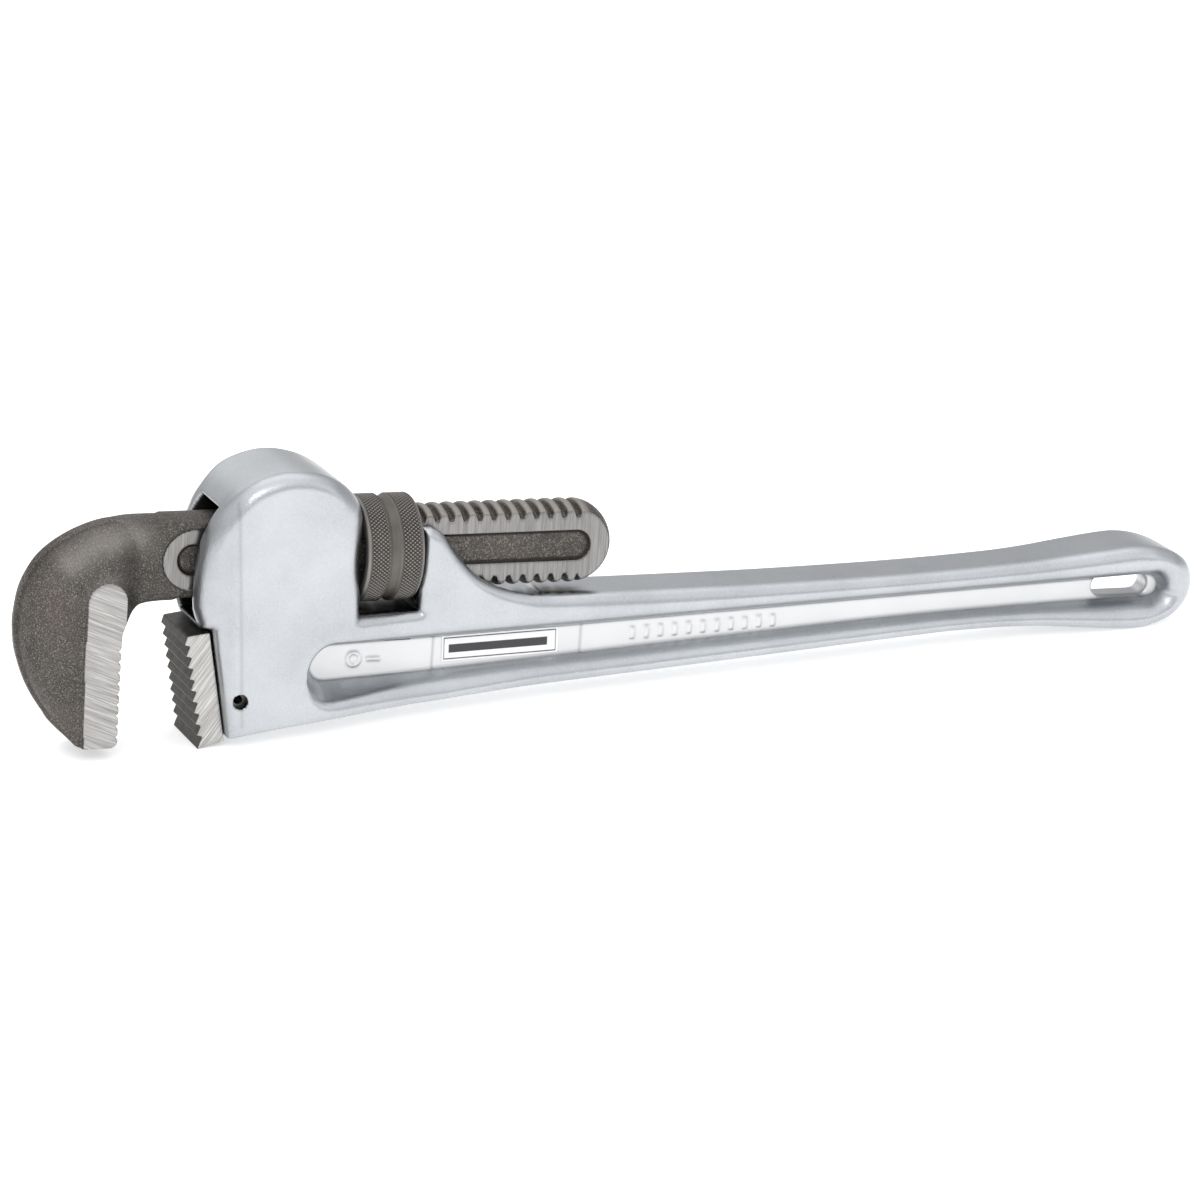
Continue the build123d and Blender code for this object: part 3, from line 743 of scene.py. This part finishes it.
def build_nut():
    rows = nut_section()
    around = KNURL_COUNT * 8
    theta = 2 * math.pi * np.arange(around) / around
    rings, wear, cavity_shade = [], [], []
    step = 2 * math.pi * NUT_R / KNURL_COUNT
    for x, r, knurl, worn in rows:
        u = NUT_R * theta / step
        v = x / step * 0.85
        cross_cut = np.maximum(np.abs((u + v) % 1 - 0.5), np.abs((u - v) % 1 - 0.5)) * 2
        drop = KNURL_DEPTH * knurl * np.clip((cross_cut - 0.25) / 0.75, 0, 1)
        rings.append(np.c_[np.full(around, x), (r - drop) * np.sin(theta), (r - drop) * np.cos(theta)])
        wear.append(np.where(knurl > 0, 0.75 * np.clip(1 - cross_cut * 1.15, 0, 1), worn))
        # painted shade in the knurl's valleys
        cavity_shade.append(0.85 * knurl * step_between(cross_cut, 0.55, 0.95))
    inner = 56
    for i in range(1, inner):
        x = NUT_HALF - 0.35 - (2 * NUT_HALF - 0.7) * i / inner          # back through the bore
        turn = (x - PHASE + PITCH * theta / (2 * math.pi)) / PITCH
        off = np.abs(turn - np.round(turn)) * PITCH
        ends = step_between(NUT_HALF - abs(x), 0.3, 1.2)
        r = NUT_BORE_R - 1.75 * (1 - step_between(off, 0.30, 1.15)) * ends
        rings.append(np.c_[np.full(around, x), r * np.sin(theta), r * np.cos(theta)])
        wear.append(np.full(around, 0.2))
        # painted shade inside the bore
        cavity_shade.append(np.full(around, 0.4))
    faces = ring_faces(len(rings), around, closed=True)
    obj = make_mesh("knurled_nut", world(np.vstack(rings)), faces)
    fix_normals(obj)
    paint(obj, "worn", np.concatenate(wear))
    paint(obj, "cavity_shade", np.concatenate(cavity_shade))
    dress(obj, MATERIALS["phosphate_steel"])
    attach(obj, "nut")
    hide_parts("adjusting_nut")


def fix_normals(obj):
    bm = bmesh.new()
    bm.from_mesh(obj.data)
    bmesh.ops.recalc_face_normals(bm, faces=bm.faces)
    bm.to_mesh(obj.data)
    bm.free()


# ---------------------------------------------------------------------------------------
# Heel jaw: a ground insert with slanting saw teeth, and its tang
# ---------------------------------------------------------------------------------------
HEEL_BACK = [(-52.6, -58.1), (-59.2, -22.2)]


def build_heel_jaw():
    f = Field((-69.0, -13.2, -61.2), (-41.2, 13.2, -21.4), 0.3)
    x2, z2 = f.x2, f.z2
    y = np.abs(f.y)
    front = []
    for i in range(HEEL_TEETH):
        t = i / HEEL_TEETH
        x = HEEL_TOP[0] + (HEEL_BOTTOM[0] - HEEL_TOP[0]) * t
        z = HEEL_TOP[1] + (HEEL_BOTTOM[1] - HEEL_TOP[1]) * t
        front += [(x, z), (x + HEEL_TOOTH[0], z + HEEL_TOOTH[1])]
    outline = np.array([(-66.5, -23.2)] + front + [HEEL_BOTTOM, (-61.3, -60.4)] + HEEL_BACK)
    side = outline_distance(x2, z2, outline)
    block = both(f.flat(side), y - JAW_HALF + 0 * f.x, 0.28)
    # small ground bevel on the lower back corner
    bevel = (f.x + 54.9) * 0.62 - (f.z + 58.3) * 0.62 + (y - JAW_HALF) * 0.5
    block = soft_max(block, np.where(f.z < -52, bevel - 0.9, -5.0), 0.2)
    tang = box_distance(x2, z2, -60.0, PIN_X + 8.0, -51.5, -25.0)
    tang = both(f.flat(tang), y - 6.0 + 0 * f.x, 0.3)
    body = soft_min(block, tang, 0.3)
    body = soft_max(body, -(f.flat(np.hypot(x2 - PIN_X, z2 - PIN_Z) - PIN_R) + 0 * y), 0.2)
    obj = f.mesh("heel_jaw_insert", body)
    p = shank_points(obj)
    paint(obj, "ground", (np.abs(p[:, 1]) > JAW_HALF - 0.2))
    dress(obj, MATERIALS["ground_steel"])
    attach(obj, "handle")
    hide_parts("heel_jaw")


# ---------------------------------------------------------------------------------------
# Springs: each is held by the housing at one end and by the shank at the other
# ---------------------------------------------------------------------------------------
def tube(name, path, radius, sides=14):
    """A round wire along a path, with closed ends."""
    path = np.asarray(path)
    tangent = np.gradient(path, axis=0)
    tangent /= np.linalg.norm(tangent, axis=1)[:, None]
    side = np.cross(tangent, np.array([0.0, 0.0, 1.0]))
    side /= np.linalg.norm(side, axis=1)[:, None]
    up = np.cross(side, tangent)
    angle = 2 * math.pi * np.arange(sides) / sides
    ring = path[:, None] + radius * (np.cos(angle)[None, :, None] * side[:, None]
                                     + np.sin(angle)[None, :, None] * up[:, None])
    faces = ring_faces(len(path), sides) + ring_ends(len(path), sides)
    obj = make_mesh(name, world(ring.reshape(-1, 3)), faces)
    fix_normals(obj)
    return obj


def build_springs():
    low, high = PASSAGE_FLOOR - COIL_POCKET_DEPTH + 0.56, -THREAD_R - 0.56
    t = np.linspace(0, 1, COIL_TURNS * 28)
    turn = 2 * COIL_TURNS * math.pi * t
    helix = np.c_[COIL_X + COIL_R * np.cos(turn), COIL_R * np.sin(turn), low + (high - low) * t]
    coil = tube("coil_spring_wire", helix, WIRE_R)
    top, bottom = PASSAGE_ROOF - 0.46, THREAD_R + 0.46
    centre = smooth_curve([(-17.0, top), (-28.0, top), (-34.0, top - 0.7), (-41.0, bottom + 0.45),
                           (-47.0, bottom), (-54.0, bottom + 1.2)], 8)
    slope = np.gradient(centre, axis=0)
    slope /= np.linalg.norm(slope, axis=1)[:, None]
    normal = np.c_[-slope[:, 1], slope[:, 0]]
    thick, inner, wide = LEAF_HALF_THICK, LEAF_HALF_THICK - 0.15, LEAF_HALF_WIDTH
    section = [(-thick, 0.2 - wide), (-thick, wide - 0.2), (-inner, wide), (inner, wide),
               (thick, wide - 0.2), (thick, 0.2 - wide), (inner, -wide), (-inner, -wide)]
    rings = [[(c[0] + n[0] * s, w, c[1] + n[1] * s) for s, w in section] for c, n in zip(centre, normal)]
    points = np.array(rings).reshape(-1, 3)
    count, sides = len(centre), len(section)
    faces = ring_faces(count, sides) + ring_ends(count, sides)
    leaf = make_mesh("flat_spring_leaf", world(points), faces, smooth=False)
    fix_normals(leaf)
    for obj, node, start, end in (
            (coil, "coil_spring", (COIL_X, 0, low), (COIL_X, 0, high)),
            (leaf, "flat_spring", (-28.0, 0, top), (-45.0, 0, top))):
        dress(obj, MATERIALS["spring_steel"])
        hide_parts(node)
        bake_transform(obj)


def build_label():
    """A grid over the CAD label's front, so that its border and bar can be painted."""
    half_l, half_h, turn = LABEL_HALF_LENGTH, LABEL_HALF_HEIGHT, LABEL_TURN
    u = np.linspace(-half_l, half_l, 161)
    v = np.linspace(-half_h, half_h, 43)
    uu, vv = (g.ravel() for g in np.meshgrid(u, v, indexing="ij"))
    x = LABEL_X + uu * math.cos(turn) - vv * math.sin(turn)
    z = LABEL_Z + uu * math.sin(turn) + vv * math.cos(turn)
    points = np.vstack([np.c_[x, np.full(len(x), -y), z] for y in (LABEL_FRONT, LABEL_BACK)])
    n, m = len(u), len(v)
    faces = [(i * m + k, (i + 1) * m + k, (i + 1) * m + k + 1, i * m + k + 1)
             for i in range(n - 1) for k in range(m - 1)]
    faces += [tuple(c + n * m for c in reversed(f)) for f in faces]
    edge = [i * m for i in range(n)] + [(n - 1) * m + k for k in range(1, m)]
    edge += [i * m + m - 1 for i in range(n - 2, -1, -1)] + list(range(m - 2, 0, -1))
    faces += [(edge[i - 1], edge[i - 1] + n * m, edge[i] + n * m, edge[i]) for i in range(len(edge))]
    obj = make_mesh("label_film", world(points), faces, smooth=False)
    fix_normals(obj)
    border = np.maximum(np.abs(uu) - (half_l - 0.75), np.abs(vv) - (half_h - 0.75))
    bar = np.maximum(np.abs(uu + 0.6) - 17.0, np.abs(vv + 0.1) - 1.5)
    ink = (np.abs(border) < 0.22) | (bar < 0)
    paint(obj, "ink", np.concatenate([ink, np.zeros(len(ink))]))
    dress(obj, MATERIALS["label_film"])
    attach(obj, "handle")
    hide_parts("label")


# ---------------------------------------------------------------------------------------
# Studio: floor, light, camera
# ---------------------------------------------------------------------------------------
YAW, PITCH_DOWN = math.radians(23.38), math.radians(16.18)
ROLL = math.radians(4.336)
LENS, SENSOR = 150.0, 36.0
LOOK_AT = (77.689, 0.0, -21.071)   # shank millimetres
DISTANCE = 1.624155                # metres
# the surroundings' grey, by how far a direction lies toward the front and up
SKY = ((0.0, 0.34), (0.44, 0.60), (0.60, 0.72), (0.74, 0.92), (0.88, 1.35), (1.0, 1.40))
SKY_UP = (-0.10, -0.30, 0.95)


def build_studio():
    floor_mesh = bpy.data.meshes.new("floor")
    size = 6.0
    floor_mesh.from_pydata([(-size, -size, 0), (size, -size, 0), (size, size, 0), (-size, size, 0)], [],
                           [(0, 1, 2, 3)])
    floor = bpy.data.objects.new("floor", floor_mesh)
    bpy.context.scene.collection.objects.link(floor)
    n = Nodes("floor_paper")
    n.shader.inputs["Emission Color"].default_value = (1, 1, 1, 1)
    n.shader.inputs["Emission Strength"].default_value = 0.46
    colour = n.ramp(n.noise(3, 2), [(0.3, (0.90, 0.90, 0.90)), (0.7, (0.92, 0.92, 0.92))])
    dress(floor, n.finish(colour, 0.9, None, metallic=0.0))

    def area(name, place, aim, width, height, power):
        light = bpy.data.lights.new(name, "AREA")
        light.shape, light.size, light.size_y = "RECTANGLE", width, height
        light.energy = power
        obj = bpy.data.objects.new(name, light)
        obj.location = place
        obj.rotation_euler = (Vector(aim) - Vector(place)).to_track_quat("-Z", "Y").to_euler()
        bpy.context.scene.collection.objects.link(obj)

    area("key", (-0.5, -1.3, 1.1), (0, 0, 0.05), 0.5, 0.3, 3.0)
    area("top", (0.2, 0.3, 1.5), (0, 0, 0), 1.6, 1.0, 1.5)
    area("fill", (1.3, -1.0, 0.6), (0, 0, 0.05), 0.8, 0.8, 1.0)
    area("back", (0.0, 1.5, 0.8), (0, 0, 0.05), 1.4, 0.6, 1.5)

    studio = bpy.data.worlds.new("studio")
    studio.use_nodes = True
    bpy.context.scene.world = studio
    tree = studio.node_tree
    background = tree.nodes["Background"]
    place = tree.nodes.new("ShaderNodeTexCoord").outputs["Generated"]
    facing = tree.nodes.new("ShaderNodeVectorMath")
    facing.operation = "DOT_PRODUCT"
    facing.inputs[1].default_value = SKY_UP
    tree.links.new(place, facing.inputs[0])
    spread = tree.nodes.new("ShaderNodeMapRange")
    spread.inputs["From Min"].default_value = -1.0
    tree.links.new(facing.outputs["Value"], spread.inputs["Value"])
    ramp = tree.nodes.new("ShaderNodeValToRGB")
    for i, (position, grey) in enumerate(SKY):
        stop = ramp.color_ramp.elements[i] if i < 2 else ramp.color_ramp.elements.new(position)
        stop.position, stop.color = position, (grey, grey, grey * 1.01, 1)
    tree.links.new(spread.outputs[0], ramp.inputs[0])
    tree.links.new(ramp.outputs[0], background.inputs[0])
    background.inputs[1].default_value = 0.9

    camera = bpy.data.cameras.new("camera")
    camera.lens, camera.sensor_width = LENS, SENSOR
    camera.clip_start, camera.clip_end = 0.05, 20.0
    obj = bpy.data.objects.new("camera", camera)
    # the camera's axes in the shank's frame, turned into the world's
    level = math.cos(PITCH_DOWN)
    ahead = np.array([math.sin(YAW) * level, math.cos(YAW) * level, -math.sin(PITCH_DOWN)])
    right = np.array([math.cos(YAW), -math.sin(YAW), 0.0])
    axes = (ahead, right, np.cross(right, ahead))
    look, right, up = (v[0] * ALONG + v[1] * ACROSS + v[2] * UPRIGHT for v in axes)
    obj.location = Vector(world(LOOK_AT) - DISTANCE * look)
    # picture axes turned by the roll about the line of sight
    pic_right = right * math.cos(ROLL) + up * math.sin(ROLL)
    pic_up = -right * math.sin(ROLL) + up * math.cos(ROLL)
    obj.rotation_euler = Matrix((pic_right, pic_up, -look)).transposed().to_euler()
    bpy.context.scene.collection.objects.link(obj)
    bpy.context.scene.camera = obj
    bpy.context.scene.view_settings.view_transform = "Standard"


MATERIALS = {
    "casting": cast_aluminium(),
    "forged_steel": forged_steel(),
    "phosphate_steel": phosphate_steel(),
    "ground_steel": heel_steel(),
    "spring_steel": spring_steel(),
    "label_film": label_film(),
}

build_studio()
build_casting()
build_hook_jaw()
build_nut()
build_heel_jaw()
build_springs()
build_label()
dress(frame["nodes"]["heel_jaw_pin"], MATERIALS["spring_steel"])
